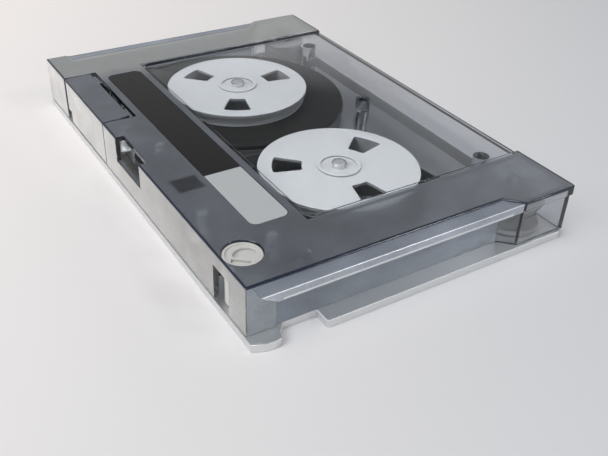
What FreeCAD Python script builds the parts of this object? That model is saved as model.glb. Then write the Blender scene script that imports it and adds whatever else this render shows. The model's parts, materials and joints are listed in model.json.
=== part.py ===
import FreeCAD, Part
import math
import os

# Quarter-inch data tape cartridge, in millimetres.
# X runs along the length with the door end at +X. +Y is the edge that enters the drive. Z is up.
# Origin: bottom centre of the base plate.

V = FreeCAD.Vector

# Overall size
length = 152.4
depth = 101.6
height = 16.9
half_l = length / 2
half_d = depth / 2

# Clearances
running_gap = 0.05      # shaft in a turning bore, on the radius
seat_gap = 0.02         # fixed pin in its hole, on the radius
part_gap = 0.3          # faces of pieces that move past each other
wrap_gap = 0.05         # tape pack on its hub, on the radius

# Base plate
plate_t = 2.3
pin_low_z = 0.3         # foot of every fixed pin
plate_back_y = -half_d + 0.8
plate_nose = 3.2        # how far the front corners taper back
notch_front_y = half_d - 7.65
notch_back_y = half_d - 20.2
notch_x = half_l - 5.2

# Cover outline
front_y = half_d - 0.3
side_x = half_l - 4.5   # side walls and raised top
strip_x = half_l - 0.3  # outer face of the side strips and of the door's corner
strip_low_z = height - 3.1
strip_top_z = height - 0.5
strip_front_y = half_d - 1.9
strip_slope = 4.5       # lead-in at the front end of each strip
lip_low_z = height - 2.9
lip_over = 0.8          # lip over the walls of the rear blocks
lip_over_back = 0.3
block_step_y = 23.1 - half_d    # where the top starts to widen into the rear blocks
block_corner_r = 1.0
wall_t = 1.5
skin_low_z = height - 2.6
border_low_z = height - 1.6     # underside of the raised border
riser_t = 1.3           # step between the border and the window
top_round = 0.4
side_recess = 0.5       # side walls behind the front corners
side_recess_y = half_d - 8.5
boss_wall = 1.2         # round the pins, under the border

# Window over the reels
window_top_z = height - 1.0
window_low_x = 22.8 - half_l
window_high_x = half_l - 20.3
window_front_y = half_d - 28.4
window_corner_r = 2.2

# Reels
reel_mid = -0.8         # middle between the reels
reel_x = 0.41129 * half_l       # each reel from that middle
reel_y = -0.0246 * half_d
hub_r = 22.8
hub_disc_r = hub_r + 0.8
hub_low_z = plate_t + 0.4
hub_disc_low_z = skin_low_z - 2.0
hub_disc_top_z = skin_low_z - 1.0
hub_ring_top_z = skin_low_z - 0.4
hub_ring_r = 6.4
hub_wall = 2.4
hub_neck_r = hub_r - 1.8     # above the tape
hub_neck_wall = 1.4
hub_step = 0.3          # shoulder over the tape
hub_ribs = 3
hub_rib_t = 1.4
port_in_r = 10.8
port_out_r = hub_r - 3.4
port_half_deg = 13.5
left_port_deg = 58.7
right_port_deg = 32.3
belt_way = 1.1          # between the packs, where both runs of the belt pass
reel_room = 2 * (reel_x - hub_r) - belt_way
left_pack_r = hub_r + 0.1635 * reel_room    # each pack takes its share of the room
right_pack_r = hub_r + 0.8365 * reel_room
reel_shaft_r = 2.0

# Tape
tape_w = 6.3
tape_low_z = plate_t + 0.45
tape_top_z = tape_low_z + tape_w
tape_t = 0.15

# Drive roller, with its notch in the front edge
drive_x = 0.5
drive_y = half_d - 10.65
drive_ring_r = 7.6
drive_groove_r = 5.5
drive_foot_r = 6.2
drive_shaft_r = 1.5
drive_boss_r = 3.2
drive_top_z = skin_low_z - 0.4
drive_notch_half = 9.0
drive_notch_y = half_d - 3.0

# Belt rollers in the rear corners
roller_x = half_l - 11.6
roller_y = 11.6 - half_d
roller_r = 6.5
roller_flange_r = 8.0
roller_shaft_r = 1.2
roller_top_z = skin_low_z - 3.3
roller_boss_r = 2.6
roller_boss_top_z = skin_low_z - 0.7
flange_t = 0.9

# Drive belt
belt_t = 0.25
belt_low_z = plate_t + 1.7
belt_top_z = belt_low_z + 3.8
belt_gap = 0.1          # belt to pack

# Tape guides, from the small reel round to the large one
guide_r = 1.5
guide_flange_r = 2.6
guide_flange_t = 0.4
guide_in = 5.6          # front guides from the front edge
side_guide_in = 16.8    # side guide from the front edge
end_guide_in = 13.7     # right guide from the end
plug_guide_in = 21.4    # side guide from the end
roller_to_guide = 15.0
guide_y = half_d - guide_in
guide_at = [(plug_guide_in - half_l, half_d - side_guide_in), (-half_l / 2, guide_y),
            (drive_x + roller_to_guide, guide_y), (half_l - end_guide_in, guide_y)]
guide_names = ["left_side_guide", "left_front_guide", "centre_guide", "right_front_guide"]

# Screw posts
post_r = 2.4
screw_at = [(10.0 - half_l, half_d - 19.8), (half_l - 20.3, half_d - 17.5), (27.5 - half_l, 10.0 - half_d),
            (half_l - 28.8, 10.0 - half_d), (reel_mid + 0.5, 18.8 - half_d)]
screw_r = 1.1
screw_head_r = 2.4
screw_head_h = 1.3
screw_len = 9.0
screw_sink = 0.1
screw_slot_w = 0.5
screw_slot_len = 2.6

# Door, hinged on an upright pin
roller_to_door = 19.4
door_in = 19.4          # hinge end from the end of the cartridge
door_deep = 9.9
corner_deep = 7.3       # full-width corner of the cover beside the door
door_low_x = drive_x + roller_to_door
door_high_x = half_l - door_in
door_back_y = half_d - door_deep
door_skin_z = height - 2.0
door_lean = 1.0         # free end leans back so that it swings clear
door_clear = 1.3        # room behind the door for its swing
web_t = 1.2
hinge_r = 1.7
hinge_pin_r = 0.6
hinge_x = door_high_x - part_gap - hinge_r
hinge_y = front_y - hinge_r
spring_wire_r = 0.2
spring_coil_r = 1.0
spring_turns = 4
spring_facets = 6       # sides of the wire's section
spring_reach = 6.0
spring_low_z = plate_t + 0.5
spring_top_z = spring_low_z + 3.0
knuckle_low_z = spring_top_z + 0.6

# Write-protect plug
plug_x = 17.1 - half_l
plug_y = half_d - 6.2
plug_head_r = 5.0
plug_body_r = 4.5
plug_head_low_z = height - 2.0
plug_top_z = height - 0.4
plug_rim = 0.7
plug_dish = 0.35        # face below the rim
plug_slot_deg = 53      # heading of the finger grip
plug_slot_out = 2.5     # grip's middle from the plug's axis
plug_slot_w = 1.4
plug_slot_d = 0.8
plug_slot_half = 2.4
plug_arc_r = 2.6        # curved recess behind the grip
plug_arc_w = 1.4
plug_arc_shift = 0.8
plug_arc_deg = (5, -131)
plug_pocket_half = 2.6  # hollow in the barrel, away from the port until the plug is turned
plug_pocket_in = 1.4
plug_pocket_drop = 1.5
plug_wall = 1.1
plug_wall_low_z = height - 8.4
plug_port_low_x = plug_x - 3.7
plug_port_high_x = plug_x + 4.2
plug_port_top_z = height - 4.3

# End-of-tape mirror, leaning at 45 degrees over a hole in the plate
mirror_low_x = -0.368 * half_l
mirror_high_x = mirror_low_x + 7.2
mirror_y = half_d - 8.2
mirror_z = plate_t + 5.5
mirror_side = 9.0
mirror_t = 0.8
mirror_hole_r = 2.6
holder_t = 0.8
holder_front_y = half_d - 3.8
holder_back_y = half_d - 12.4

# Label, in a shallow pocket in front of the window
label_low_x = 26.0 - half_l
label_high_x = half_l - 24.3
label_low_y = half_d - 24.9
label_high_y = half_d - 13.7
label_corner_r = 2.2
label_sink = 0.15
label_t = 0.12


def box(low, high):
    return Part.makeBox(high[0] - low[0], high[1] - low[1], high[2] - low[2], V(*low))


def disc(x, y, r, low_z, high_z):
    return Part.makeCylinder(r, high_z - low_z, V(x, y, low_z))


def prism(points, low_z, high_z):
    ring = [V(x, y, low_z) for x, y in points]
    return Part.Face(Part.makePolygon(ring + ring[:1])).extrude(V(0, 0, high_z - low_z))


def mirrored(points):
    return both_ends(points, points)


def both_ends(right, left):
    # Outline from its points at +X, and those at -X given as if at +X.
    return right + [(-x, y) for x, y in reversed(left)]


def rounded_box(low, high, r, low_z, high_z):
    body = box((low[0], low[1], low_z), (high[0], high[1], high_z))
    upright = [e for e in body.Edges if abs(e.Vertexes[0].Z - e.Vertexes[-1].Z) > 0.01]
    return body.makeFillet(r, upright)


def joined(shapes):
    return shapes[0].fuse(shapes[1:]).removeSplitter()


def cut(body, tools):
    return body.cut(Part.Compound(tools) if len(tools) > 1 else tools[0])


def polar(x, y, r, degrees):
    a = math.radians(degrees)
    return x + r * math.cos(a), y + r * math.sin(a)


def arc_edge(cx, cy, r, a0, a1, z):
    # Edge from angle a0 to a1, in radians, either way round.
    ends = [V(cx + r * math.cos(a), cy + r * math.sin(a), z) for a in (a0, (a0 + a1) / 2, a1)]
    return Part.Arc(*ends).toShape()


def path_turns(circles, closed):
    # circles: (x, y, path radius, +1 turning left or -1 turning right).
    # Gives, for each circle, the heading on arrival and on leaving, in radians.
    n = len(circles)
    headings = []
    for i in range(n if closed else n - 1):
        ax, ay, ar, asign = circles[i]
        bx, by, br, bsign = circles[(i + 1) % n]
        lean = (bsign * br - asign * ar) / math.hypot(bx - ax, by - ay)
        headings.append(math.atan2(by - ay, bx - ax) - math.asin(lean))
    turns = []
    for i in range(n):
        arrive = headings[i - 1] if (closed or i > 0) else None
        leave = headings[i] if (closed or i < n - 1) else None
        turns.append((arrive, leave))
    return turns


def path_side(circles, turns, offset, z):
    # Edges of the path moved sideways by offset, positive to the left.
    edges = []
    last = None
    first = None
    for (cx, cy, r, sign), (arrive, leave) in zip(circles, turns):
        reach = sign * r - offset
        start = leave if arrive is None else arrive
        end = arrive if leave is None else leave
        swing = (end - start) % (2 * math.pi) if sign > 0 else -((start - end) % (2 * math.pi))
        a0 = start - math.pi / 2
        a1 = a0 + swing
        if reach < 0:
            a0 += math.pi
            a1 += math.pi
        size = abs(reach)
        here = V(cx + size * math.cos(a0), cy + size * math.sin(a0), z)
        if last is not None:
            edges.append(Part.makeLine(last, here))
        if first is None:
            first = here
        if abs(swing) > 1e-6:
            edges.append(arc_edge(cx, cy, size, a0, a1, z))
        last = V(cx + size * math.cos(a1), cy + size * math.sin(a1), z)
    return edges, first, last


def band(circles, closed, thickness, low_z, high_z):
    turns = path_turns(circles, closed)
    left, left_first, left_last = path_side(circles, turns, thickness / 2, low_z)
    right, right_first, right_last = path_side(circles, turns, -thickness / 2, low_z)
    rise = V(0, 0, high_z - low_z)
    if closed:
        inner = Part.Wire(left + [Part.makeLine(left_last, left_first)])
        outer = Part.Wire(right + [Part.makeLine(right_last, right_first)])
        return Part.Face(outer).extrude(rise).cut(Part.Face(inner).extrude(rise))
    caps = [Part.makeLine(left_last, right_last), Part.makeLine(right_first, left_first)]
    return Part.Face(Part.Wire(Part.__sortEdges__(left + right + caps))).extrude(rise)


def base_plate():
    side = [(half_l - 1.6, half_d),
            (half_l - 0.3, half_d - plate_nose),
            (half_l, half_d - plate_nose - 2.4),
            (half_l - 0.5, notch_front_y),
            (half_l - 2.8, notch_front_y - 0.9),
            (notch_x, notch_front_y - 3.0),
            (notch_x, notch_back_y + 0.6),
            (notch_x + 0.6, notch_back_y),
            (half_l - 0.6, notch_back_y),
            (half_l, notch_back_y - 0.6),
            (half_l, plate_back_y + 1.5),
            (half_l - 1.5, plate_back_y)]
    plate = prism(mirrored(side), 0, plate_t)
    holes = []
    for x, y in screw_at:
        holes.append(disc(x, y, screw_r + 0.4, -1, plate_t + 1))
        holes.append(Part.makeCone(screw_head_r + 0.15, screw_r + 0.4, screw_head_h + 0.15, V(x, y, 0)))
    for x, y, r, low, high in fixed_pins():
        holes.append(disc(x, y, r + seat_gap, low, plate_t + 1))
    holes.append(disc((mirror_low_x + mirror_high_x) / 2, mirror_y + 1.0, mirror_hole_r, -1, plate_t + 1))
    return cut(plate, holes)


def fixed_pins():
    # Every pin held in the plate and the cover: x, y, radius, bottom, top.
    pins = [(reel_mid + sx * reel_x, reel_y, reel_shaft_r, pin_low_z, height - 1.6) for sx in (-1, 1)]
    pins += [(sx * roller_x, roller_y, roller_shaft_r, pin_low_z, height - 1.3) for sx in (-1, 1)]
    pins.append((drive_x, drive_y, drive_shaft_r, pin_low_z, height - 1.0))
    pins += [(x, y, guide_r, pin_low_z, height - 1.7) for x, y in guide_at]
    pins.append((hinge_x, hinge_y, hinge_pin_r, pin_low_z, height - 1.3))
    return pins


def pin_at(x, y):
    return [p for p in fixed_pins() if abs(p[0] - x) + abs(p[1] - y) < 0.01][0]


def corner_points(inset):
    # The door's end has a full-width corner.
    corner_y = front_y - corner_deep
    return [(strip_x - inset, front_y - inset), (strip_x - inset, corner_y + inset),
            (side_x - inset, corner_y + inset)]


def top_points():
    block = [(side_x, block_step_y),
             (half_l, block_step_y - (half_l - side_x)),
             (half_l, -half_d)]
    return both_ends(corner_points(0) + block, [(side_x, front_y)] + block)


def wall_points(inset):
    side = side_x - inset
    block = half_l - lip_over - inset
    back = -half_d + lip_over_back + inset
    step = block_step_y - 1.0 - inset * math.tan(math.pi / 8)
    rear = [(side, step), (block, step - (block - side)), (block, back)]
    return both_ends(corner_points(inset) + rear, [(side, front_y - inset)] + rear)


def side_strip(sign):
    profile = [(strip_front_y, strip_top_z),
               (strip_front_y - strip_slope, strip_low_z),
               (block_step_y - 4.0, strip_low_z),
               (block_step_y - 4.0, strip_top_z)]
    ring = [V(0, y, z) for y, z in profile]
    width = strip_x - side_x + 1.0
    strip = Part.Face(Part.makePolygon(ring + ring[:1])).extrude(V(width, 0, 0))
    strip.translate(V(side_x - 1.0, 0, 0))
    return strip if sign > 0 else strip.mirror(V(0, 0, 0), V(1, 0, 0))


def round_rear(body, r):
    # Upright edges of both rear corners.
    rear = body.BoundBox.YMin + 0.01
    upright = [e for e in body.Edges if max(v.Y for v in e.Vertexes) < rear
               and abs(e.Vertexes[0].Z - e.Vertexes[-1].Z) > 0.01]
    return body.makeFillet(r, upright)


def cover_blank():
    top = round_rear(prism(top_points(), lip_low_z, height), block_corner_r)
    rim = [e for e in top.Edges if min(v.Z for v in e.Vertexes) > height - 0.01]
    top = top.makeFillet(top_round, rim)
    walls = round_rear(prism(wall_points(0), plate_t, lip_low_z + 0.2), block_corner_r - lip_over_back)
    body = joined([top, walls, side_strip(1), side_strip(-1)])
    riser = rounded_box((window_low_x - riser_t, -half_d), (window_high_x + riser_t, window_front_y + riser_t),
                        window_corner_r + riser_t, plate_t, height)
    inside = prism(wall_points(wall_t), plate_t - 1, border_low_z)
    return cut(body, [prism(wall_points(wall_t), plate_t - 1, skin_low_z), inside.cut(riser)])


def cover_posts():
    over = border_low_z + 0.2
    posts = [disc(x, y, post_r, plate_t, over) for x, y in screw_at]
    posts += [disc(x, y, r + boss_wall, skin_low_z, over) for x, y, r, low, high in fixed_pins()
              if y > window_front_y + riser_t and (x, y) != (hinge_x, hinge_y) or abs(x) > window_high_x + riser_t]
    housing = disc(plug_x, plug_y, plug_head_r + 0.2 + plug_wall, plug_wall_low_z, over)
    front = box((-half_l, front_y - 0.2, 0), (half_l, half_d + 10, height))
    posts.append(cut(housing, [front]))
    for x in (mirror_low_x - part_gap - holder_t, mirror_high_x + part_gap):
        posts.append(box((x, holder_back_y, plate_t), (x + holder_t, holder_front_y - 1.0, over)))
    return posts


def side_hollow(sign, front):
    # Recess in a side wall, running back to the slanting face of the rear block.
    near = side_x - side_recess
    away = side_x + 0.5
    step = block_step_y - 1.0
    points = [(near, front), (away, front), (away, step + side_x - away), (near, step + side_recess)]
    return prism([(sign * x, y) for x, y in points], plate_t - 1, strip_low_z)


def cover_openings():
    far = half_d + 10
    over = height + 5
    tools = [rounded_box((window_low_x, -far), (window_high_x, window_front_y), window_corner_r,
                         window_top_z, over),
             box((door_low_x, door_back_y - door_clear, plate_t - 1), (door_high_x, far, over)),
             box((drive_x - drive_notch_half, drive_notch_y, tape_top_z),
                 (drive_x + drive_notch_half, far, over)),
             disc(plug_x, plug_y, plug_head_r + 0.2, plate_t - 1, over),
             box((plug_port_low_x, front_y - wall_t - 1, plate_t - 1), (plug_port_high_x, far, plug_port_top_z)),
             rounded_box((label_low_x - 0.1, label_low_y - 0.1), (label_high_x + 0.1, label_high_y + 0.1),
                         label_corner_r, height - label_sink, over)]
    tools += [side_hollow(-1, side_recess_y), side_hollow(1, front_y - corner_deep)]
    for x, y, r, low, high in fixed_pins():
        if (x, y) != (hinge_x, hinge_y):
            tools.append(disc(x, y, r + seat_gap, skin_low_z - 3, high + 0.1))
    for x, y in screw_at:
        tools.append(disc(x, y, screw_r + seat_gap, plate_t - 1, screw_len + 1.0))
    return tools


def top_cover():
    body = joined([cover_blank()] + cover_posts())
    for tool in cover_openings():
        body = body.cut(tool)
    return body.removeSplitter()


def door():
    low_x = door_low_x + part_gap
    high_x = door_high_x - part_gap
    back_y = door_back_y + part_gap + 0.1
    inner_y = front_y - wall_t
    lean_x = low_x + door_lean
    top = prism([(lean_x, back_y), (high_x, back_y), (high_x, hinge_y), (hinge_x, hinge_y),
                 (hinge_x, front_y), (low_x, front_y), (low_x, hinge_y)], door_skin_z, height)
    top = top.makeFillet(top_round, [e for e in top.Edges if min(v.Z + v.Y for v in e.Vertexes)
                                     > height + front_y - 0.01])
    wall = box((low_x, inner_y, knuckle_low_z), (hinge_x, front_y, height - 0.5))
    skirt = box((low_x, inner_y, plate_t + part_gap), (hinge_x - 2.2, front_y, knuckle_low_z + 0.1))
    knuckle = disc(hinge_x, hinge_y, hinge_r, knuckle_low_z, height)
    web = prism([(lean_x, back_y), (lean_x + web_t, back_y), (low_x + web_t + 0.1, inner_y + 0.1),
                 (low_x + 0.1, inner_y + 0.1)], tape_top_z + 1.2, door_skin_z + 0.1)
    body = joined([top, wall, skirt, knuckle, web])
    pin = pin_at(hinge_x, hinge_y)
    return cut(body, [disc(hinge_x, hinge_y, hinge_pin_r + running_gap, plate_t, pin[4] + 0.2)])


def door_spring():
    # One leg on the door, the coil round the pin, the other leg on the cover's front wall.
    touch_y = front_y - wall_t - spring_wire_r - 0.05
    coil_y = hinge_y - spring_coil_r
    rise = spring_top_z - spring_low_z
    steps = spring_turns * 16
    points = [V(hinge_x - spring_reach, touch_y, spring_low_z)]
    points.append(V(hinge_x - spring_reach * 0.75, touch_y - 0.12, spring_low_z))
    points.append(V(hinge_x - spring_reach * 0.3, coil_y + 0.14, spring_low_z))
    for i in range(steps + 1):
        a = -math.pi / 2 + i * 2 * math.pi / 16
        points.append(V(hinge_x + spring_coil_r * math.cos(a), hinge_y + spring_coil_r * math.sin(a),
                        spring_low_z + rise * i / steps))
    points.append(V(hinge_x + spring_reach * 0.3, coil_y + 0.14, spring_top_z))
    points.append(V(hinge_x + spring_reach * 0.75, touch_y - 0.12, spring_top_z))
    points.append(V(hinge_x + spring_reach, touch_y, spring_top_z))
    return points


def spring_solid():
    curve = Part.BSplineCurve()
    curve.interpolate(door_spring())
    path = Part.Wire(curve.toShape())
    start = curve.value(curve.FirstParameter)
    tangent = curve.tangent(curve.FirstParameter)[0]
    wire_edge = Part.makeCircle(spring_wire_r, start, tangent)
    ring = Part.makePolygon(wire_edge.discretize(spring_facets + 1))
    return path.makePipeShell([ring], True, True)


def arc_recess(r, width, start, end, low_z, high_z):
    # Curved groove about the origin, from start down to end in degrees, round at both ends.
    a0, a1 = math.radians(start), math.radians(end)
    edges = [arc_edge(0, 0, r + side * width / 2, a0, a1, low_z) for side in (-1, 1)]
    for a, turn in ((a0, math.pi), (a1, -math.pi)):
        edges.append(arc_edge(r * math.cos(a), r * math.sin(a), width / 2, a, a + turn, low_z))
    return Part.Face(Part.Wire(Part.__sortEdges__(edges))).extrude(V(0, 0, high_z - low_z))


def write_protect_plug():
    head = disc(plug_x, plug_y, plug_head_r, plug_head_low_z, plug_top_z)
    body = disc(plug_x, plug_y, plug_body_r, plate_t + part_gap, plug_head_low_z + 0.1)
    plug = joined([head, body])
    face_z = plug_top_z - plug_dish
    dish = disc(0, 0, plug_head_r - plug_rim, face_z, height)
    slot = box((-plug_slot_half, -plug_slot_w / 2, face_z - plug_slot_d), (plug_slot_half, plug_slot_w / 2, height))
    slot.translate(V(0, plug_slot_out, 0))
    arc = arc_recess(plug_arc_r, plug_arc_w, *plug_arc_deg, face_z - plug_slot_d, height)
    arc.translate(V(-plug_arc_shift, 0, 0))
    pocket = box((-plug_pocket_half, -plug_body_r - 1, plate_t),
                 (plug_pocket_half, -plug_pocket_in, plug_head_low_z - plug_pocket_drop))
    tools = [dish, slot, arc, pocket]
    for tool in tools:
        tool.rotate(V(0, 0, 0), V(0, 0, 1), plug_slot_deg)
        tool.translate(V(plug_x, plug_y, 0))
    return cut(plug, tools)


def hub_port(cx, degrees):
    a0 = math.radians(degrees - port_half_deg)
    a1 = math.radians(degrees + port_half_deg)
    low = hub_disc_low_z - 1
    inner = arc_edge(cx, reel_y, port_in_r, a0, a1, low)
    outer = arc_edge(cx, reel_y, port_out_r, a0, a1, low)
    sides = [Part.makeLine(V(*polar(cx, reel_y, port_in_r, d), low), V(*polar(cx, reel_y, port_out_r, d), low))
             for d in (degrees - port_half_deg, degrees + port_half_deg)]
    face = Part.Face(Part.Wire(Part.__sortEdges__([inner, outer] + sides)))
    port = face.extrude(V(0, 0, 5))
    upright = [e for e in port.Edges if abs(e.Vertexes[0].Z - e.Vertexes[-1].Z) > 0.01]
    return port.makeFillet(0.8, upright)


def reel_hub(sign, port_deg):
    cx = reel_mid + sign * reel_x
    step_z = tape_top_z + hub_step
    rim = disc(cx, reel_y, hub_r, hub_low_z, step_z)
    rim = rim.cut(disc(cx, reel_y, hub_r - hub_wall, hub_low_z - 1, height))
    neck = disc(cx, reel_y, hub_neck_r, step_z - hub_neck_wall, hub_disc_low_z + 0.1)
    neck = neck.cut(disc(cx, reel_y, hub_neck_r - hub_neck_wall, hub_low_z, height))
    plate = disc(cx, reel_y, hub_disc_r, hub_disc_low_z, hub_disc_top_z)
    sleeve = disc(cx, reel_y, hub_ring_r, hub_low_z, hub_ring_top_z)
    ribs = []
    for i in range(hub_ribs):
        rib = box((hub_ring_r - 0.5, -hub_rib_t / 2, hub_low_z + 1.0),
                  (hub_neck_r - 0.4, hub_rib_t / 2, hub_disc_low_z + 0.1))
        rib.rotate(V(0, 0, 0), V(0, 0, 1), port_deg + 60 + i * 120)
        rib.translate(V(cx, reel_y, 0))
        ribs.append(rib)
    hub = joined([plate, rim, neck, sleeve] + ribs)
    ports = [hub_port(cx, port_deg + i * 120) for i in range(3)]
    dish = disc(cx, reel_y, hub_ring_r - 1.1, hub_disc_top_z, height)
    bore = disc(cx, reel_y, reel_shaft_r + running_gap, 0, height)
    return cut(hub, ports + [dish.fuse(bore)])


def tape_pack(sign, radius):
    cx = reel_mid + sign * reel_x
    pack = disc(cx, reel_y, radius, tape_low_z, tape_top_z)
    return cut(pack, [disc(cx, reel_y, hub_r + wrap_gap, 0, height)])


def tape_span():
    gap = 0.1 + tape_t / 2
    right = (reel_mid + reel_x, reel_y, right_pack_r + gap, 1)
    left = (reel_mid - reel_x, reel_y, left_pack_r + gap, 1)
    guides = [(x, y, guide_r + seat_gap + tape_t / 2, 1) for x, y in reversed(guide_at)]
    return band([right] + guides + [left], False, tape_t, tape_low_z, tape_top_z)


def drive_belt():
    pack_gap = belt_gap + belt_t / 2
    wheel_gap = part_gap / 2 + belt_t / 2
    loop = [(drive_x, drive_y, drive_groove_r + wheel_gap, 1),
            (reel_mid - reel_x, reel_y, left_pack_r + pack_gap, -1),
            (-roller_x, roller_y, roller_r + wheel_gap, 1),
            (roller_x, roller_y, roller_r + wheel_gap, 1),
            (reel_mid + reel_x, reel_y, right_pack_r + pack_gap, -1)]
    return band(loop, True, belt_t, belt_low_z, belt_top_z)


def drive_roller():
    low = plate_t + part_gap
    foot = disc(drive_x, drive_y, drive_foot_r, low, belt_low_z - 0.5)
    groove = disc(drive_x, drive_y, drive_groove_r, low, tape_top_z + part_gap)
    ring = disc(drive_x, drive_y, drive_ring_r, tape_top_z + part_gap, drive_top_z - 0.8)
    boss = disc(drive_x, drive_y, drive_boss_r, tape_top_z, drive_top_z)
    body = joined([foot, groove, ring, boss])
    return cut(body, [disc(drive_x, drive_y, drive_shaft_r + running_gap, 0, height)])


def belt_roller(sign):
    cx = sign * roller_x
    low = plate_t + part_gap
    foot = disc(cx, roller_y, roller_flange_r, low, low + flange_t)
    drum = disc(cx, roller_y, roller_r, low, roller_top_z)
    flange = disc(cx, roller_y, roller_flange_r, roller_top_z - flange_t, roller_top_z)
    boss = disc(cx, roller_y, roller_boss_r, low, roller_boss_top_z)
    body = joined([foot, drum, flange, boss])
    return cut(body, [disc(cx, roller_y, roller_shaft_r + running_gap, 0, height)])


def plain_pin(x, y):
    px, py, r, low, high = pin_at(x, y)
    pin = disc(px, py, r, low, high)
    ends = [e for e in pin.Edges if len(e.Vertexes) == 1 or e.Vertexes[0].Z == e.Vertexes[-1].Z]
    return pin.makeChamfer(min(0.2, r / 4), ends)


def tape_guide(x, y):
    px, py, r, low, high = pin_at(x, y)
    post = disc(px, py, r, low, high)
    foot = disc(px, py, guide_flange_r, plate_t, tape_low_z - 0.05)
    collar = disc(px, py, guide_flange_r, tape_top_z + 0.05, tape_top_z + 0.05 + guide_flange_t)
    return joined([post, foot, collar])


def end_of_tape_mirror():
    body = box((mirror_low_x, -mirror_side / 2, -mirror_t / 2),
               (mirror_high_x, mirror_side / 2, mirror_t / 2))
    body.rotate(V(0, 0, 0), V(1, 0, 0), 45)
    body.translate(V(0, mirror_y, mirror_z))
    return body


def cover_screws():
    screws = []
    for x, y in screw_at:
        head = Part.makeCone(screw_head_r, screw_r, screw_head_h, V(x, y, screw_sink))
        shank = disc(x, y, screw_r, screw_sink + screw_head_h, screw_len)
        a, b = screw_slot_len / 2, screw_slot_w / 2
        recess = joined([box((x - a, y - b, 0), (x + a, y + b, screw_sink + 0.7)),
                         box((x - b, y - a, 0), (x + b, y + a, screw_sink + 0.7))])
        screws.append(cut(joined([head, shank]), [recess]))
    return Part.Compound(screws)


def front_label():
    low_z = height - label_sink
    return rounded_box((label_low_x, label_low_y), (label_high_x, label_high_y), label_corner_r,
                       low_z, low_z + label_t)


def build():
    pieces = {
        "base_plate": base_plate(),
        "top_cover": top_cover(),
        "door": door(),
        "door_pin": plain_pin(hinge_x, hinge_y),
        "door_spring": spring_solid(),
        "write_protect_plug": write_protect_plug(),
        "left_reel_hub": reel_hub(-1, left_port_deg),
        "right_reel_hub": reel_hub(1, right_port_deg),
        "left_tape_pack": tape_pack(-1, left_pack_r),
        "right_tape_pack": tape_pack(1, right_pack_r),
        "left_reel_shaft": plain_pin(reel_mid - reel_x, reel_y),
        "right_reel_shaft": plain_pin(reel_mid + reel_x, reel_y),
        "tape_span": tape_span(),
        "drive_belt": drive_belt(),
        "drive_roller": drive_roller(),
        "drive_roller_shaft": plain_pin(drive_x, drive_y),
        "left_belt_roller": belt_roller(-1),
        "right_belt_roller": belt_roller(1),
        "left_belt_roller_shaft": plain_pin(-roller_x, roller_y),
        "right_belt_roller_shaft": plain_pin(roller_x, roller_y),
        "end_of_tape_mirror": end_of_tape_mirror(),
        "cover_screws": cover_screws(),
        "front_label": front_label(),
    }
    for name, (x, y) in zip(guide_names, guide_at):
        pieces[name] = tape_guide(x, y)
    return pieces


os.makedirs("parts", exist_ok=True)
for name, shape in build().items():
    shape.exportStep("parts/" + name + ".step")
    size = shape.BoundBox
    print(name, "solids", len(shape.Solids), "valid", shape.isValid(), "volume", round(shape.Volume, 1),
          "size", round(size.XLength, 2), round(size.YLength, 2), round(size.ZLength, 2))
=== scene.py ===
import json
import math
import random
import bpy
import bmesh
from mathutils import Matrix, Vector


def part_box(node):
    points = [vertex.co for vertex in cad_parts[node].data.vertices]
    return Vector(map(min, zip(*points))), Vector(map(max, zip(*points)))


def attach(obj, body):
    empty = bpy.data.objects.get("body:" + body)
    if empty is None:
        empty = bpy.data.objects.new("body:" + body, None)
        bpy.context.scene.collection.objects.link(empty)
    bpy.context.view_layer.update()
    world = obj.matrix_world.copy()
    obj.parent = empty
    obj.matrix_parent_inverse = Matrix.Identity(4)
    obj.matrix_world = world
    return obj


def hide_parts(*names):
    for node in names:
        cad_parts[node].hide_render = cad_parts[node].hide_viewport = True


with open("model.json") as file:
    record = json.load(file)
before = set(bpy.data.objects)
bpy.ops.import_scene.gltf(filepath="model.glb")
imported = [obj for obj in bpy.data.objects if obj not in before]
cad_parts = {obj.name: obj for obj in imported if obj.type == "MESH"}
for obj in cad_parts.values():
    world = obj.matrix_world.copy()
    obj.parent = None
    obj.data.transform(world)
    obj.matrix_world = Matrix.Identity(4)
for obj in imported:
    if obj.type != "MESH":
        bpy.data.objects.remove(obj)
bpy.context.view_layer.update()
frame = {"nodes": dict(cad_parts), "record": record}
nodes = frame["nodes"]
mm = 0.001     # all in metres: the door is at +X, the write-protect plug at -X, the front edge at +Y
bodyOf = {name: body for body, names in frame["record"]["behaviour"]["bodies"].items() for name in names}
slotOf = {part["node"]: part["material_slot"] for part in frame["record"]["subparts"]}
print("frame loaded:", len(nodes), "nodes")


def linear(hexText):
    # sRGB hex to the linear colour the shaders want
    parts = [int(hexText[i:i + 2], 16) / 255 for i in (1, 3, 5)]
    return [p / 12.92 if p <= 0.04045 else ((p + 0.055) / 1.055) ** 2.4 for p in parts] + [1.0]


def addNode(tree, kind, settings=None, **links):
    # settings fill sockets, properties or a ramp's stops; links are socket name = source socket,
    # with n and its number for a socket whose name is not its own
    node = tree.nodes.new(kind)
    for key, value in (settings or {}).items():
        if key == "stops":
            ends = node.color_ramp.elements
            while len(ends) < len(value):
                ends.new(1.0)
            for end, (place, colour) in zip(ends, value):
                end.position, end.color = place, colour
        elif isinstance(key, int) or key in node.inputs:
            node.inputs[key].default_value = value
        else:
            setattr(node, key, value)
    for key, source in links.items():
        socket = int(key[1:]) if key[0] == "n" and key[1:].isdigit() else key.replace("_", " ")
        tree.links.new(source, node.inputs[socket])
    return node


def newMaterial(name):
    material = bpy.data.materials.new(name)
    material.use_nodes = True
    material.node_tree.nodes.clear()
    return material, material.node_tree


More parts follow.
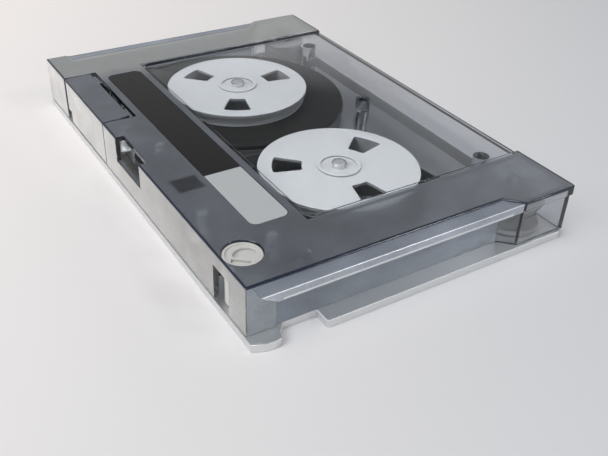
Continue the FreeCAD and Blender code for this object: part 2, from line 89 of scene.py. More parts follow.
polycarbonate = {
    "tint": "#8B929E",         # smoke grey with a little blue
    "density": 110,            # how dark a given thickness looks
    "ior": 1.585,
    "clear": "#F2F3F5",
    "shadow": "#F6F7F8",       # light that casts shadows passes nearly whole
    "polished": 0.03,
    "frosted": 0.3,
    "grain": 0.3 * mm,         # spark-eroded grain is nearer 0.05 mm, drawn coarser to show
    "grainDepth": 0.02 * mm,
    "grainStrength": 0.3,
    "glitter": 0.6 * mm,       # sparkle of the same grain, drawn coarser still
    "glitterSpan": (0.93, 1.07),
    "cloud": 14.29 * mm,       # uneven flow in the mould
    "cloudSpan": (0.84, 1.16),
    "noiseSpan": (0.3, 0.7),   # where most of a noise texture's values lie
    "milkFrom": 0.01,          # scattering from which a face counts as milky
}
window = {
    "low": -53.4 * mm,
    "high": 55.9 * mm,
    "front": 22.4 * mm,
    "rim": 1.1 * mm,           # polished border outside the pane
    "sill": 0.7 * mm,          # painted highlight along the edge inside it
    "soft": 0.1 * mm,
    "sillMilk": 0.4,
    "sillTone": "#B4B9BB",
}
frontLightFade = {                  # painted light: the front wall's tone grows lighter towards the lamp's end
    "near": -72 * mm,
    "far": 60 * mm,
    "from": 0.68,
    "to": 1.36,
}
edgeShadeLine = {                   # painted shade: the outline of the top, painted dark for half a millimetre in from its rounded edge
    "side": 70.95 * mm,
    "sideFrom": -28 * mm,
    "sideTo": 43 * mm,         # the corner beside the door is wider than the rest
    "end": 50.0 * mm,
    "tone": "#2C3446",
}
stripFootHighlight = {                  # painted highlight along the lower edge of each side strip
    "out": 75.6 * mm,
    "under": 14.5 * mm,
    "tone": "#FBFDFF",
}
farEndLight = {                     # painted light: the top is painted lighter here, as if light from the side walls reached it
    "from": 46 * mm,
    "to": 57 * mm,
    "tone": "#B9BBB8",
}
mirrorPatch = {                # the top is clearer over the end-of-tape mirror
    "middle": (-24.4 * mm, 42.9 * mm, 0),
    "half": (2.8 * mm, 3.2 * mm, 1),
    "soft": 1.2 * mm,
    "milk": 0.9,               # share of the scattering taken away
}


def smokedPolycarbonate():
    # Injection-moulded smoked polycarbonate: polished windows, spark-eroded matt border and walls.
    # Clear and dark at thick edges, milky where matt. The face attributes say where, and their tones carry painted
    # light and shade.
    material, tree = newMaterial("smokedPolycarbonate")
    p = polycarbonate
    place = addNode(tree, "ShaderNodeTexCoord").outputs["Object"]
    along = addNode(tree, "ShaderNodeSeparateXYZ", Vector=place)
    mark = {key: addNode(tree, "ShaderNodeAttribute", {"attribute_name": key})
            for key in ("matt", "milk", "tone", "top", "pane", "front")}

    # how far outside the pane, and outside the patch over the mirror, each point lies
    paneMiddle = ((window["high"] + window["low"]) / 2, window["front"] - 1, 0)
    paneHalf = ((window["high"] - window["low"]) / 2, 1, 0)     # a metre deep, as only its front edge counts
    apart = []
    for middle, half in ((paneMiddle, paneHalf), (mirrorPatch["middle"], mirrorPatch["half"])):
        off = addNode(tree, "ShaderNodeVectorMath", {"operation": "SUBTRACT", 1: middle}, n0=place)
        off = addNode(tree, "ShaderNodeVectorMath", {"operation": "ABSOLUTE"}, n0=off.outputs["Vector"])
        off = addNode(tree, "ShaderNodeVectorMath", {"operation": "SUBTRACT", 1: half}, n0=off.outputs["Vector"])
        off = addNode(tree, "ShaderNodeSeparateXYZ", Vector=off.outputs["Vector"])
        off = addNode(tree, "ShaderNodeMath", {"operation": "MAXIMUM"}, n0=off.outputs["X"], n1=off.outputs["Y"])
        apart.append(off.outputs["Value"])
    fromPane, fromPatch = apart

    # the grain stops a millimetre short of the pane, which has a painted highlight along its very edge
    away = addNode(tree, "ShaderNodeMapRange", {"From Min": window["rim"] - window["soft"],
                                               "From Max": window["rim"] + window["soft"]}, Value=fromPane)
    away = addNode(tree, "ShaderNodeMix", {2: 1.0}, n0=mark["top"].outputs["Fac"], n3=away.outputs["Result"])
    sill = addNode(tree, "ShaderNodeMapRange", {"From Min": -window["sill"] - window["soft"],
                                               "From Max": -window["sill"] + window["soft"]}, Value=fromPane)
    sill = addNode(tree, "ShaderNodeMath", {"operation": "MULTIPLY"}, n0=sill.outputs["Result"],
                   n1=mark["pane"].outputs["Fac"])
    sillMilk = addNode(tree, "ShaderNodeMath", {"operation": "MULTIPLY", 1: window["sillMilk"]},
                       n0=sill.outputs["Value"])
    frost = addNode(tree, "ShaderNodeMath", {"operation": "MULTIPLY"}, n0=away.outputs["Result"],
                    n1=mark["matt"].outputs["Fac"])
    scatter = addNode(tree, "ShaderNodeMath", {"operation": "MULTIPLY"}, n0=away.outputs["Result"],
                      n1=mark["milk"].outputs["Fac"])
    scatter = addNode(tree, "ShaderNodeMath", {"operation": "MAXIMUM"}, n0=scatter.outputs["Value"],
                      n1=sillMilk.outputs["Value"])
    near = addNode(tree, "ShaderNodeMapRange", {"From Max": mirrorPatch["soft"], "To Min": 1 - mirrorPatch["milk"]},
                   Value=fromPatch)
    scatter = addNode(tree, "ShaderNodeMath", {"operation": "MULTIPLY"}, n0=scatter.outputs["Value"],
                      n1=near.outputs["Result"])

    # matt grain
    grain = addNode(tree, "ShaderNodeTexNoise", {"Scale": 1 / p["grain"], "Detail": 3.0}, Vector=place)
    rough = addNode(tree, "ShaderNodeMapRange", {"To Min": p["polished"], "To Max": p["frosted"]},
                    Value=frost.outputs["Value"])
    depth = addNode(tree, "ShaderNodeMath", {"operation": "MULTIPLY", 1: p["grainStrength"]},
                    n0=frost.outputs["Value"])
    bump = addNode(tree, "ShaderNodeBump", {"Distance": p["grainDepth"]}, Height=grain.outputs["Fac"],
                   Strength=depth.outputs["Value"])

    # colour of the scattered light: slow clouds, the grain's glitter, and the painted light that fades along the
    # front wall
    tone = mark["tone"].outputs["Vector"]
    fade = addNode(tree, "ShaderNodeMapRange", {"From Min": frontLightFade["near"], "From Max": frontLightFade["far"],
                                               "To Min": frontLightFade["from"], "To Max": frontLightFade["to"]},
                   Value=along.outputs["X"])
    shades = [addNode(tree, "ShaderNodeMix", {2: 1.0}, n0=mark["front"].outputs["Fac"], n3=fade.outputs["Result"])]
    for size, detail, span in ((p["cloud"], 3.0, p["cloudSpan"]), (p["glitter"], 1.0, p["glitterSpan"])):
        noise = addNode(tree, "ShaderNodeTexNoise", {"Scale": 1 / size, "Detail": detail}, Vector=place)
        shades.append(addNode(tree, "ShaderNodeMapRange",
                              {"From Min": p["noiseSpan"][0], "From Max": p["noiseSpan"][1],
                               "To Min": span[0], "To Max": span[1]}, Value=noise.outputs["Fac"]))
    for shade in shades:
        tone = addNode(tree, "ShaderNodeVectorMath", {"operation": "SCALE"}, n0=tone,
                       Scale=shade.outputs["Result"]).outputs["Vector"]

    # tests of position, 0 or 1, which meet in the masks below
    spread = addNode(tree, "ShaderNodeVectorMath", {"operation": "ABSOLUTE"}, n0=place)
    spread = addNode(tree, "ShaderNodeSeparateXYZ", Vector=spread.outputs["Vector"])
    tests = {"left": ("LESS_THAN", -edgeShadeLine["side"], along.outputs["X"]),
             "right": ("GREATER_THAN", edgeShadeLine["side"], along.outputs["X"]),
             "short": ("LESS_THAN", edgeShadeLine["sideTo"], along.outputs["Y"]),
             "ahead": ("GREATER_THAN", edgeShadeLine["sideFrom"], along.outputs["Y"]),
             "end": ("GREATER_THAN", edgeShadeLine["end"], spread.outputs["Y"]),
             "out": ("GREATER_THAN", stripFootHighlight["out"], spread.outputs["X"]),
             "under": ("LESS_THAN", stripFootHighlight["under"], along.outputs["Z"])}
    found = {key: addNode(tree, "ShaderNodeMath", {"operation": kind, 1: level}, n0=source).outputs["Value"]
             for key, (kind, level, source) in tests.items()}
    found["far"] = addNode(tree, "ShaderNodeMapRange", {"From Min": farEndLight["from"], "From Max": farEndLight["to"]},
                           Value=along.outputs["X"]).outputs["Result"]
    found["top"] = mark["top"].outputs["Fac"]
    masks = {"right": ("MULTIPLY", "right", "short"), "side": ("MAXIMUM", "left", "right"),
             "longSide": ("MULTIPLY", "side", "ahead"), "outline": ("MAXIMUM", "longSide", "end"),
             "line": ("MULTIPLY", "outline", "top"), "farTop": ("MULTIPLY", "far", "top"),
             "low": ("MULTIPLY", "under", "out"), "lowSide": ("MULTIPLY", "low", "ahead"),
             "foot": ("MULTIPLY", "lowSide", "short")}
    for key, (kind, one, other) in masks.items():
        found[key] = addNode(tree, "ShaderNodeMath", {"operation": kind}, n0=found[one],
                             n1=found[other]).outputs["Value"]
    found["sill"] = sill.outputs["Value"]
    # painted light and shade mixed into the tone: the lighter far end, the dark outline, the highlight on each
    # strip's foot and along the pane's edge
    for key, colour in (("farTop", farEndLight["tone"]), ("line", edgeShadeLine["tone"]), ("foot", stripFootHighlight["tone"]),
                        ("sill", window["sillTone"])):
        tone = addNode(tree, "ShaderNodeMix", {"data_type": "RGBA", 7: linear(colour)}, n0=found[key],
                       n6=tone).outputs[2]
    milky = addNode(tree, "ShaderNodeMath", {"operation": "GREATER_THAN", 1: p["milkFrom"]},
                    n0=scatter.outputs["Value"])
    tone = addNode(tree, "ShaderNodeMix", {"data_type": "RGBA", 6: linear(p["clear"])}, n0=milky.outputs["Value"],
                   n7=tone).outputs[2]

    through = addNode(tree, "ShaderNodeMath", {"operation": "SUBTRACT", 0: 1.0}, n1=scatter.outputs["Value"])
    skin = addNode(tree, "ShaderNodeBsdfPrincipled", {"IOR": p["ior"]}, Base_Color=tone,
                   Roughness=rough.outputs["Result"], Transmission_Weight=through.outputs["Value"],
                   Normal=bump.outputs["Normal"])
    ray = addNode(tree, "ShaderNodeLightPath")
    let = addNode(tree, "ShaderNodeBsdfTransparent", {"Color": linear(p["shadow"])})
    mix = addNode(tree, "ShaderNodeMixShader", Fac=ray.outputs["Is Shadow Ray"], n1=skin.outputs["BSDF"],
                  n2=let.outputs["BSDF"])
    smoke = addNode(tree, "ShaderNodeVolumeAbsorption", {"Color": linear(p["tint"]), "Density": p["density"]})
    addNode(tree, "ShaderNodeOutputMaterial", Surface=mix.outputs["Shader"], Volume=smoke.outputs["Volume"])
    return material


aluminium = {
    "colour": "#E2E3E4",
    "roughness": (0.34, 0.54),
    "anisotropy": 0.4,
    "grainLength": 12 * mm,
    "grainWidth": 0.25 * mm,   # rolling lines are about 0.05 mm apart, drawn coarser to show
    "grainDepth": 0.004 * mm,
    "grainStrength": 0.5,
    "cloud": 16.67 * mm,       # duller and brighter patches
}


def rolledAluminium():
    # Cold-rolled aluminium sheet, sheared and stamped: satin, with faint lines along the length.
    material, tree = newMaterial("rolledAluminium")
    p = aluminium
    place = addNode(tree, "ShaderNodeTexCoord")
    stretch = addNode(tree, "ShaderNodeMapping",
                      {"Scale": (1 / p["grainLength"], 1 / p["grainWidth"], 1 / p["grainWidth"])},
                      Vector=place.outputs["Object"])
    lines = addNode(tree, "ShaderNodeTexNoise", {"Scale": 1.0, "Detail": 4.0}, Vector=stretch.outputs["Vector"])
    cloud = addNode(tree, "ShaderNodeTexNoise", {"Scale": 1 / p["cloud"], "Detail": 3.0},
                    Vector=place.outputs["Object"])
    rough = addNode(tree, "ShaderNodeMapRange", {"To Min": p["roughness"][0], "To Max": p["roughness"][1]},
                    Value=cloud.outputs["Fac"])
    bump = addNode(tree, "ShaderNodeBump", {"Distance": p["grainDepth"], "Strength": p["grainStrength"]},
                   Height=lines.outputs["Fac"])
    skin = addNode(tree, "ShaderNodeBsdfPrincipled",
                   {"Base Color": linear(p["colour"]), "Metallic": 1.0, "Anisotropic": p["anisotropy"]},
                   Roughness=rough.outputs["Result"], Normal=bump.outputs["Normal"])
    addNode(tree, "ShaderNodeOutputMaterial", Surface=skin.outputs["BSDF"])
    return material


acetal = {
    "ior": 1.48,
    # painted shade: the dark tone mixed in where a face is marked "shade"
    "shade": "#3E4041",
    "uneven": (-0.06, 0.08),   # roughness below and above the finish's own
    "flow": 7.143 * mm,        # streaks left as the mould fills
    "grain": 0.2857 * mm,      # moulded grain is nearer 0.05 mm, drawn coarser to show
    "grainDepth": 0.004 * mm,
    "grainStrength": 0.4,
    "sinks": 0.12,             # share of light that goes in
    "depth": 0.6 * mm,         # and how deep
    "glow": (1.0, 0.9, 0.8),   # red goes a little deeper than blue
}


def mouldedAcetal(name, colour, roughness):
    # Moulded acetal: dense and slightly waxy, light sinks in a little at edges.
    material, tree = newMaterial(name)
    p = acetal
    place = addNode(tree, "ShaderNodeTexCoord")
    # painted shade: faces marked "shade", under the reel discs, on the disc's edge and on the walls of its ports,
    # are mixed towards a dark tone
    under = addNode(tree, "ShaderNodeAttribute", {"attribute_name": "shade"})
    tone = addNode(tree, "ShaderNodeMix", {"data_type": "RGBA", 6: linear(colour), 7: linear(p["shade"])},
                   n0=under.outputs["Fac"])
    flow = addNode(tree, "ShaderNodeTexNoise", {"Scale": 1 / p["flow"], "Detail": 4.0},
                   Vector=place.outputs["Object"])
    rough = addNode(tree, "ShaderNodeMapRange",
                    {"To Min": roughness + p["uneven"][0], "To Max": roughness + p["uneven"][1]},
                    Value=flow.outputs["Fac"])
    grain = addNode(tree, "ShaderNodeTexNoise", {"Scale": 1 / p["grain"], "Detail": 2.0},
                    Vector=place.outputs["Object"])
    bump = addNode(tree, "ShaderNodeBump", {"Distance": p["grainDepth"], "Strength": p["grainStrength"]},
                   Height=grain.outputs["Fac"])
    skin = addNode(tree, "ShaderNodeBsdfPrincipled",
                   {"IOR": p["ior"], "Subsurface Weight": p["sinks"], "Subsurface Scale": p["depth"],
                    "Subsurface Radius": p["glow"]}, Base_Color=tone.outputs[2],
                   Roughness=rough.outputs["Result"], Normal=bump.outputs["Normal"])
    addNode(tree, "ShaderNodeOutputMaterial", Surface=skin.outputs["BSDF"])
    return material


woundTapeLook = {
    "colour": "#1D1B18",
    "light": "#2C2A26",
    "bands": (0.35, 0.7),      # noise values at which each colour is whole
    "turns": 0.22 * mm,        # real turns are 0.01 mm apart, drawn as the uneven bands the eye sees
    "turnDepth": 0.01 * mm,
    "turnStrength": 0.5,
    "roughness": (0.28, 0.5),
    "ior": 1.55,
}


def woundTape():
    # Edge of wound magnetic tape: near black, with fine rings where turns stand a little proud.
    material, tree = newMaterial("woundTape")
    p = woundTapeLook
    away = addNode(tree, "ShaderNodeAttribute", {"attribute_name": "radius"})
    rings = addNode(tree, "ShaderNodeTexNoise", {"noise_dimensions": "1D", "Scale": 1 / p["turns"], "Detail": 4.0},
                    W=away.outputs["Fac"])
    tone = addNode(tree, "ShaderNodeValToRGB", {"stops": [(p["bands"][0], linear(p["colour"])),
                                                          (p["bands"][1], linear(p["light"]))]},
                   Fac=rings.outputs["Fac"])
    rough = addNode(tree, "ShaderNodeMapRange", {"To Min": p["roughness"][0], "To Max": p["roughness"][1]},
                    Value=rings.outputs["Fac"])
    bump = addNode(tree, "ShaderNodeBump", {"Distance": p["turnDepth"], "Strength": p["turnStrength"]},
                   Height=rings.outputs["Fac"])
    skin = addNode(tree, "ShaderNodeBsdfPrincipled", {"IOR": p["ior"]}, Base_Color=tone.outputs["Color"],
                   Roughness=rough.outputs["Result"], Normal=bump.outputs["Normal"])
    addNode(tree, "ShaderNodeOutputMaterial", Surface=skin.outputs["BSDF"])
    return material


plastic = {
    "ior": 1.5,
    "uneven": (-0.08, 0.08),   # roughness below and above the finish's own
    "grainDepth": 0.01 * mm,
    "grainStrength": 0.3,
}


def plainPlastic(name, colour, roughness, grain):
    # Moulded or cast black and grey pieces inside the cover: even colour, fine moulded grain.
    material, tree = newMaterial(name)
    p = plastic
    place = addNode(tree, "ShaderNodeTexCoord")
    speck = addNode(tree, "ShaderNodeTexNoise", {"Scale": 1 / grain, "Detail": 3.0}, Vector=place.outputs["Object"])
    rough = addNode(tree, "ShaderNodeMapRange",
                    {"To Min": roughness + p["uneven"][0], "To Max": roughness + p["uneven"][1]},
                    Value=speck.outputs["Fac"])
    bump = addNode(tree, "ShaderNodeBump", {"Distance": p["grainDepth"], "Strength": p["grainStrength"]},
                   Height=speck.outputs["Fac"])
    skin = addNode(tree, "ShaderNodeBsdfPrincipled", {"Base Color": linear(colour), "IOR": p["ior"]},
                   Roughness=rough.outputs["Result"], Normal=bump.outputs["Normal"])
    addNode(tree, "ShaderNodeOutputMaterial", Surface=skin.outputs["BSDF"])
    return material


steel = {
    "drawnOut": 5,             # how many times longer a turning mark is than it is wide
    "uneven": (-0.06, 0.08),   # roughness below and above the finish's own
    "markDepth": 0.005 * mm,
    "markStrength": 0.3,
}


def workedMetal(name, colour, roughness, grain):
    # Ground, drawn or plated steel: bright, with fine turning marks around it.
    material, tree = newMaterial(name)
    p = steel
    place = addNode(tree, "ShaderNodeTexCoord")
    around = 1 / (grain * p["drawnOut"])
    stretch = addNode(tree, "ShaderNodeMapping", {"Scale": (around, around, 1 / grain)},
                      Vector=place.outputs["Object"])
    marks = addNode(tree, "ShaderNodeTexNoise", {"Scale": 1.0, "Detail": 3.0}, Vector=stretch.outputs["Vector"])
    rough = addNode(tree, "ShaderNodeMapRange",
                    {"To Min": roughness + p["uneven"][0], "To Max": roughness + p["uneven"][1]},
                    Value=marks.outputs["Fac"])
    bump = addNode(tree, "ShaderNodeBump", {"Distance": p["markDepth"], "Strength": p["markStrength"]},
                   Height=marks.outputs["Fac"])
    skin = addNode(tree, "ShaderNodeBsdfPrincipled", {"Base Color": linear(colour), "Metallic": 1.0},
                   Roughness=rough.outputs["Result"], Normal=bump.outputs["Normal"])
    addNode(tree, "ShaderNodeOutputMaterial", Surface=skin.outputs["BSDF"])
    return material


labelLook = {
    "black": "#110F0D",
    "silver": "#C2C5C6",
    "splitX": -22.8 * mm,      # the silver part lies beyond this
    "roughness": (0.3, 0.44),
    "metal": 0.2,              # lacquer covers most of the silver's shine
    "ior": 1.5,
    "wave": 1.111 * mm,        # the film follows its glue
    "waveDepth": 0.01 * mm,
    "waveStrength": 0.3,
}


def labelFilm():
    # Self-adhesive polyester film: gloss black print, bare silver film at the plug end.
    material, tree = newMaterial("labelFilm")
    p = labelLook
    place = addNode(tree, "ShaderNodeTexCoord")
    along = addNode(tree, "ShaderNodeSeparateXYZ", Vector=place.outputs["Object"])
    bare = addNode(tree, "ShaderNodeMath", {"operation": "LESS_THAN", 1: p["splitX"]}, n0=along.outputs["X"])
    tone = addNode(tree, "ShaderNodeMix", {"data_type": "RGBA", 6: linear(p["black"]), 7: linear(p["silver"])},
                   n0=bare.outputs["Value"])
    film = addNode(tree, "ShaderNodeTexNoise", {"Scale": 1 / p["wave"], "Detail": 3.0},
                   Vector=place.outputs["Object"])
    rough = addNode(tree, "ShaderNodeMapRange", {"To Min": p["roughness"][0], "To Max": p["roughness"][1]},
                    Value=film.outputs["Fac"])
    metal = addNode(tree, "ShaderNodeMath", {"operation": "MULTIPLY", 1: p["metal"]}, n0=bare.outputs["Value"])
    bump = addNode(tree, "ShaderNodeBump", {"Distance": p["waveDepth"], "Strength": p["waveStrength"]},
                   Height=film.outputs["Fac"])
    skin = addNode(tree, "ShaderNodeBsdfPrincipled", {"IOR": p["ior"]}, Base_Color=tone.outputs[2],
                   Roughness=rough.outputs["Result"], Metallic=metal.outputs["Value"],
                   Normal=bump.outputs["Normal"])
    addNode(tree, "ShaderNodeOutputMaterial", Surface=skin.outputs["BSDF"])
    return material


smoke = smokedPolycarbonate()
# after each colour stand its roughness and the size of its grain, drawn coarser than the real one to show
finishes = {
    "base_plate": rolledAluminium(),
    "smoked_cover": smoke,
    "smoked_door": smoke,
    "hub_white": mouldedAcetal("whiteAcetal", "#E9EAE9", 0.42),
    "tape": woundTape(),
    "tape_run": plainPlastic("coatedTape", "#241F1C", 0.22, 0.2 * mm),
    "belt": plainPlastic("polyurethaneBelt", "#6C6D6C", 0.5, 0.15 * mm),
    "drive_roller": plainPlastic("blackAcetal", "#1C1C1E", 0.4, 0.1 * mm),
    "belt_roller": mouldedAcetal("naturalAcetal", "#8C8C8B", 0.45),
    "steel_pin": workedMetal("groundSteel", "#E6E7E8", 0.55, 0.08 * mm),
    "spring_steel": workedMetal("springSteel", "#9C9DA0", 0.28, 0.05 * mm),
    "screw_steel": workedMetal("zincPlatedSteel", "#A9AAAC", 0.32, 0.1 * mm),
    "mirror_face": workedMetal("silveredGlass", "#DADDDF", 0.08, 1.0 * mm),
    "plug_grey": mouldedAcetal("greyAcetal", "#C6C6C3", 0.42),
    "label": labelFilm(),
}
for name, node in nodes.items():
    node.data.materials.clear()
    node.data.materials.append(finishes[slotOf[name]])
    for face in node.data.polygons:
        face.material_index = 0
print("materials made:", len(bpy.data.materials))


def standFor(name, mesh):
    # a finished mesh takes its node's place, body and slot
    piece = bpy.data.objects.new(name.replace("_", " ").title().replace(" ", ""), mesh)
    bpy.context.scene.collection.objects.link(piece)
    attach(piece, bodyOf[name])
    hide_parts(name)
    return piece


rounding = {
    "merge": 0.0005 * mm,
    "level": 0.6,              # degrees between facets of one flat face
    "corner": 35,              # degrees from which an edge is rounded
    "sharp": 28,               # degrees from which shading breaks
    "broad": 12 * mm * mm,     # faces this large keep their own direction to the very edge
    "segments": 2,
    "favour": 100,             # how far the larger faces lead the shading of the rest
    "edges": {
        "top_cover": 0.16 * mm,
        "door": 0.16 * mm,
        "base_plate": 0.14 * mm,
        "left_reel_hub": 0.15 * mm,
        "right_reel_hub": 0.15 * mm,
        "write_protect_plug": 0.12 * mm,
        "drive_roller": 0.15 * mm,
        "left_belt_roller": 0.12 * mm,
        "right_belt_roller": 0.12 * mm,
    },
}


def softCopy(name, edge):
    # a copy of the CAD node with its sharp edges rounded as a mould or a punch leaves them
    mesh = nodes[name].data.copy()
    work = bmesh.new()
    work.from_mesh(mesh)
    bmesh.ops.remove_doubles(work, verts=work.verts, dist=rounding["merge"])
    bmesh.ops.dissolve_limit(work, angle_limit=math.radians(rounding["level"]), verts=work.verts, edges=work.edges)
    # outward edges only: inward corners stay sharp, so that no two rounds run into each other
    weight = work.edges.layers.float.new("bevel_weight_edge")
    for corner in work.edges:
        if len(corner.link_faces) == 2 and corner.calc_face_angle_signed(0.0) > math.radians(rounding["corner"]):
            corner[weight] = 1.0
    work.to_mesh(mesh)
    work.free()
    piece = standFor(name, mesh)
    bevel = piece.modifiers.new("edge", "BEVEL")
    bevel.width, bevel.segments, bevel.limit_method = edge, rounding["segments"], "WEIGHT"
    bevel.use_clamp_overlap = False
    for face in mesh.polygons:
        face.use_smooth = True
    mesh.set_sharp_from_angle(angle=math.radians(rounding["sharp"]))
    even = piece.modifiers.new("evenFaces", "WEIGHTED_NORMAL")
    even.keep_sharp, even.weight = True, rounding["favour"]
    piece.data = bpy.data.meshes.new_from_object(piece.evaluated_get(bpy.context.evaluated_depsgraph_get()))
    piece.modifiers.clear()
    mesh = piece.data
    directions = [corner.vector.copy() for corner in mesh.corner_normals]
    for face in mesh.polygons:
        if face.area > rounding["broad"]:
            for i in face.loop_indices:
                directions[i] = face.normal
    mesh.normals_split_custom_set(directions)
    return piece


coverLook = {
    # share of matt grain, share of light scattered, and its colour, which on some faces carries painted light and
    # shade
    "border": (1.0, 0.45, "#7E838B"),
    "edge": (0.3, 0.85, "#2A3244"),        # painted shade: rounded edges, painted dark along their length
    "corner": (0.1, 0.85, "#2A3036"),      # painted shade on the upright corners of the rear blocks and the step round the window
    "strip": (1.0, 0.55, "#9AA1AD"),
    # painted light: the strips' outer faces are toned lighter than the rest, on top of their milky scatter
    "stripSide": (0.7, 0.8, "#BCC2CD"),
    "glint": (0.2, 0.95, "#F4F7FC"),       # painted highlight on the rounded edges of the strips, as if they caught the light
    # painted light: the front wall is toned light and warm, on top of its milky scatter
    "frontWall": (0.8, 0.55, "#DBD9D6"),
    "sideWall": (1.0, 0.55, "#8E97A3"),
    # painted light: the front corners' sides are toned lighter, on top of their milky scatter
    "cornerSide": (0.5, 0.55, "#A6AFB5"),
    "polished": (0.0, 0.0, "#FFFFFF"),
    # where each of them lies
    "flat": 0.98,              # a normal's share along an axis, from which a face counts as square to it
    "upright": 0.3,            # and up to which it counts as upright
    "borderUp": 16.85 * mm,
    "stripUp": 16.35 * mm,
    "edgeUp": 15.7 * mm,
    "stepLow": 15.92 * mm,     # step round the window
    "stepOut": 60 * mm,
    "stepFront": 23.2 * mm,
    "wallOut": 70.9 * mm,
    "cornerOut": 71.5 * mm,    # the front corners stand proud of the side walls
    "stripOut": 75.8 * mm,
    "wallFront": 50.4 * mm,
    "glintFrom": 0.2,
    "glintOut": 75.6 * mm,
    "glintLow": 13.6 * mm,
    "blockFront": -28.0 * mm,
    "blockOut": 75.25 * mm,
    "paneArea": 4000 * mm * mm,
}


def coverFinishAndLight(centre, normal):
    p = coverLook
    if normal.z > p["flat"]:
        if centre.z > p["borderUp"]:
            return p["border"]
        return p["strip"] if centre.z > p["stripUp"] and abs(centre.x) > p["wallOut"] else p["polished"]
    onStrip = abs(centre.x) > p["glintOut"] and centre.z > p["glintLow"] and centre.y > p["blockFront"]
    if onStrip and p["glintFrom"] < abs(normal.x) < p["flat"]:
        return p["glint"]
    if centre.z > p["stepLow"] and abs(centre.x) < p["stepOut"] and centre.y < p["stepFront"]:
        return p["corner"]
    if normal.z > 1 - p["flat"] and centre.z > p["edgeUp"]:
        return p["edge"]
    upright = abs(normal.z) < p["upright"] and min(abs(normal.x), abs(normal.y)) > p["upright"]
    if upright and centre.y < p["blockFront"] and abs(centre.x) > p["blockOut"] and centre.x * normal.x > 0:
        return p["corner"]
    if normal.y > p["flat"] and centre.y > p["wallFront"]:
        return p["frontWall"]
    if abs(normal.x) > p["flat"] and centre.x * normal.x > 0 and centre.y > p["blockFront"]:
        if abs(centre.x) > p["stripOut"]:
            return p["stripSide"]
        if abs(centre.x) > p["wallOut"]:
            return p["cornerSide"] if abs(centre.x) > p["cornerOut"] else p["sideWall"]
    return p["polished"]


def paintFinishAndLight(piece):
    mesh, p = piece.data, coverLook
    marks = {"matt": [], "milk": [], "top": [], "pane": [], "front": []}
    tones = []
    for face in mesh.polygons:
        matt, milk, colour = coverFinishAndLight(face.center, face.normal)
        level = face.normal.z > p["flat"]
        top = level and face.center.z > p["borderUp"] and piece.name == "TopCover"
        pane = level and face.area > p["paneArea"] and not top
        front = colour == p["frontWall"][2]
        for values, value in zip(marks.values(), (matt, milk, top, pane, front)):
            values.append(float(value))
        tones.extend(linear(colour)[:3])
    for key, values in marks.items():
        mesh.attributes.new(key, "FLOAT", "FACE").data.foreach_set("value", values)
    mesh.attributes.new("tone", "FLOAT_VECTOR", "FACE").data.foreach_set("vector", tones)


# painted shade on the reel hubs, darker under their discs and on the discs' edges and port walls
hubShade = {
    "discLow": 12.25 * mm,     # underside of the disc
    "under": 0.55,             # share of painted shade below it
    "rim": 0.62,               # and on its edge and the walls of its ports
    "upright": 0.3,
}


def paintHubShade(piece):
    shades = []
    for face in piece.data.polygons:
        rim = hubShade["rim"] if abs(face.normal.z) < hubShade["upright"] else 0.0
        shades.append(hubShade["under"] if face.center.z < hubShade["discLow"] else rim)
    piece.data.attributes.new("shade", "FLOAT", "FACE").data.foreach_set("value", shades)


for name, edge in rounding["edges"].items():
    piece = softCopy(name, edge)
    if piece.data.materials[0] == smoke:
        paintFinishAndLight(piece)
    if slotOf[name] == "hub_white":
        paintHubShade(piece)
print("edges rounded:", len(rounding["edges"]))

packLook = {
    "rings": 90,
    "around": 160,
    "proud": 0.035 * mm,       # how far uneven turns stand out
    "step": 0.5,               # share of that between one ring and the next
    "sharp": 40,
    "seed": 11,
}


def tapePack(name, seed):
    # the pack turned from its profile, with turns a little high and low as winding leaves them
    p = packLook
    low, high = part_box(name)
    centre = (low + high) / 2
    outer = (high.x - low.x) / 2
    inner = min((v.co - centre).xy.length for v in nodes[name].data.vertices)
    draw = random.Random(seed)
    level = 0.0
    profile = [(inner, low.z)]
    for i in range(p["rings"] + 1):
        level += draw.uniform(-1, 1) * p["proud"] * p["step"]
        level = max(-p["proud"], min(0.0, level))
        profile.append((inner + (outer - inner) * i / p["rings"], high.z + level))
    profile.append((outer, low.z))
    vertices, faces, radii = [], [], []
    for radius, height in profile:
        for j in range(p["around"]):
            turn = 2 * math.pi * j / p["around"]
            vertices.append((centre.x + radius * math.cos(turn), centre.y + radius * math.sin(turn), height))
            radii.append(radius)
    count = len(profile)
    for i in range(count):
        for j in range(p["around"]):
            k = (j + 1) % p["around"]
            a, b = i * p["around"], ((i + 1) % count) * p["around"]
            faces.append((a + k, a + j, b + j, b + k))
    mesh = bpy.data.meshes.new(name)
    mesh.from_pydata(vertices, [], faces)
    mesh.attributes.new("radius", "FLOAT", "POINT").data.foreach_set("value", radii)
    mesh.materials.append(finishes[slotOf[name]])
    for face in mesh.polygons:
        face.use_smooth = True
    mesh.set_sharp_from_angle(angle=math.radians(p["sharp"]))
    return standFor(name, mesh)


for i, name in enumerate(("left_tape_pack", "right_tape_pack")):
    tapePack(name, packLook["seed"] + i)
print("tape packs wound")

studio = {
    "floorWarm": "#FCF6F3",    # towards the window of the room
    "floorCool": "#CBCED2",
    "floorRoughness": 0.8,
    "floorSpan": 0.16,         # metres from the middle to either colour
    "floorAlong": (0.75, 0.64, 0),
    "floorSize": 4,
    "floorUnder": 0.02 * mm,
    "wallTone": "#F4F5F7",     # pale walls near the horizon
    "ceilingTone": "#4A4C50",  # dim ceiling, so that the window mirrors little
    "wallTop": (0.365, 0.42),  # sine of the height where the walls end, sharp to soft
    "rearSlope": 0.73,         # the wall behind stands higher, this much per metre away
    "rearSoft": 0.025,
    "strength": 0.8,
    "lamps": {
        "leftLamp": {"place": (-0.12, 1.12, 0.98), "size": 0.8, "power": 13},
        "nearLamp": {"place": (-0.85, -0.7, 0.9), "size": 0.22, "power": 3.5},
        "topLamp": {"place": (0.1, 0.25, 1.4), "size": 0.7, "power": 6},
    },
}


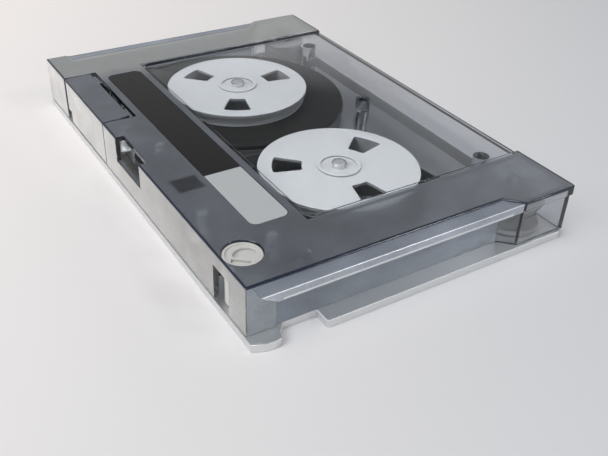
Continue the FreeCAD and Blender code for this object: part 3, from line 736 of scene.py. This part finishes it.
def floorSheet():
    # Seamless paper, painted a little warmer and lighter towards the light.
    material, tree = newMaterial("paleFloor")
    place = addNode(tree, "ShaderNodeTexCoord")
    along = addNode(tree, "ShaderNodeVectorMath", {"operation": "DOT_PRODUCT", 1: studio["floorAlong"]},
                    n0=place.outputs["Object"])
    side = addNode(tree, "ShaderNodeMapRange", {"From Min": -studio["floorSpan"], "From Max": studio["floorSpan"]},
                   Value=along.outputs["Value"])
    tone = addNode(tree, "ShaderNodeValToRGB", {"stops": [(0.0, linear(studio["floorCool"])),
                                                          (1.0, linear(studio["floorWarm"]))]},
                   Fac=side.outputs["Result"])
    skin = addNode(tree, "ShaderNodeBsdfPrincipled", {"Roughness": studio["floorRoughness"]},
                   Base_Color=tone.outputs["Color"])
    addNode(tree, "ShaderNodeOutputMaterial", Surface=skin.outputs["BSDF"])
    mesh = bpy.data.meshes.new("floorSheet")
    far = studio["floorSize"]
    mesh.from_pydata([(-far, -far, 0), (far, -far, 0), (far, far, 0), (-far, far, 0)], [], [(0, 1, 2, 3)])
    floor = bpy.data.objects.new("floorSheet", mesh)
    mesh.materials.append(material)
    bpy.context.scene.collection.objects.link(floor)
    floor.location.z = -studio["floorUnder"]


def lamp(name, setting):
    light = bpy.data.lights.new(name, "AREA")
    light.shape, light.size, light.energy = "SQUARE", setting["size"], setting["power"]
    place = Vector(setting["place"])
    holder = bpy.data.objects.new(name, light)
    holder.location = place
    holder.rotation_euler = (-place).to_track_quat("-Z", "Y").to_euler()
    bpy.context.scene.collection.objects.link(holder)


def paleRoom():
    world = bpy.data.worlds.new("paleRoom")
    world.use_nodes = True
    tree = world.node_tree
    tree.nodes.clear()
    look = addNode(tree, "ShaderNodeTexCoord")
    rise = addNode(tree, "ShaderNodeSeparateXYZ", Vector=look.outputs["Generated"])
    side = addNode(tree, "ShaderNodeMapRange", {"From Min": studio["wallTop"][0], "From Max": studio["wallTop"][1]},
                   Value=rise.outputs["Z"])
    over = addNode(tree, "ShaderNodeMath", {"operation": "MULTIPLY_ADD", 1: studio["rearSlope"]},
                   n0=rise.outputs["Y"], n2=rise.outputs["Z"])
    rear = addNode(tree, "ShaderNodeMapRange", {"From Min": -studio["rearSoft"], "From Max": studio["rearSoft"]},
                   Value=over.outputs["Value"])
    above = addNode(tree, "ShaderNodeMath", {"operation": "MINIMUM"}, n0=side.outputs["Result"],
                    n1=rear.outputs["Result"])
    sky = addNode(tree, "ShaderNodeMix", {"data_type": "RGBA", 6: linear(studio["wallTone"]),
                                          7: linear(studio["ceilingTone"])}, n0=above.outputs["Value"])
    glow = addNode(tree, "ShaderNodeBackground", {"Strength": studio["strength"]}, Color=sky.outputs[2])
    addNode(tree, "ShaderNodeOutputWorld", Surface=glow.outputs["Background"])
    bpy.context.scene.world = world


floorSheet()
for name, setting in studio["lamps"].items():
    lamp(name, setting)
paleRoom()
print("studio set")

camera = {
    "place": (-0.195981, 0.116311, 0.130221),
    "right": (-0.52503, -0.85044, 0.03315),
    "up": (0.49581, -0.27397, 0.82408),
    "forward": (0.69175, -0.44911, -0.56550),
    "lens": 47.479,
    "sensor": 36.0,
    "clip": (0.005, 20),
}
view = bpy.data.cameras.new("camera")
view.lens, view.sensor_width = camera["lens"], camera["sensor"]
view.clip_start, view.clip_end = camera["clip"]
holder = bpy.data.objects.new("camera", view)
turn = Matrix((Vector(camera["right"]), Vector(camera["up"]), -Vector(camera["forward"]))).transposed()
holder.matrix_world = Matrix.Translation(Vector(camera["place"])) @ turn.to_4x4()
bpy.context.scene.collection.objects.link(holder)
bpy.context.scene.camera = holder
bpy.context.scene.view_settings.view_transform = "Standard"
print("camera set")
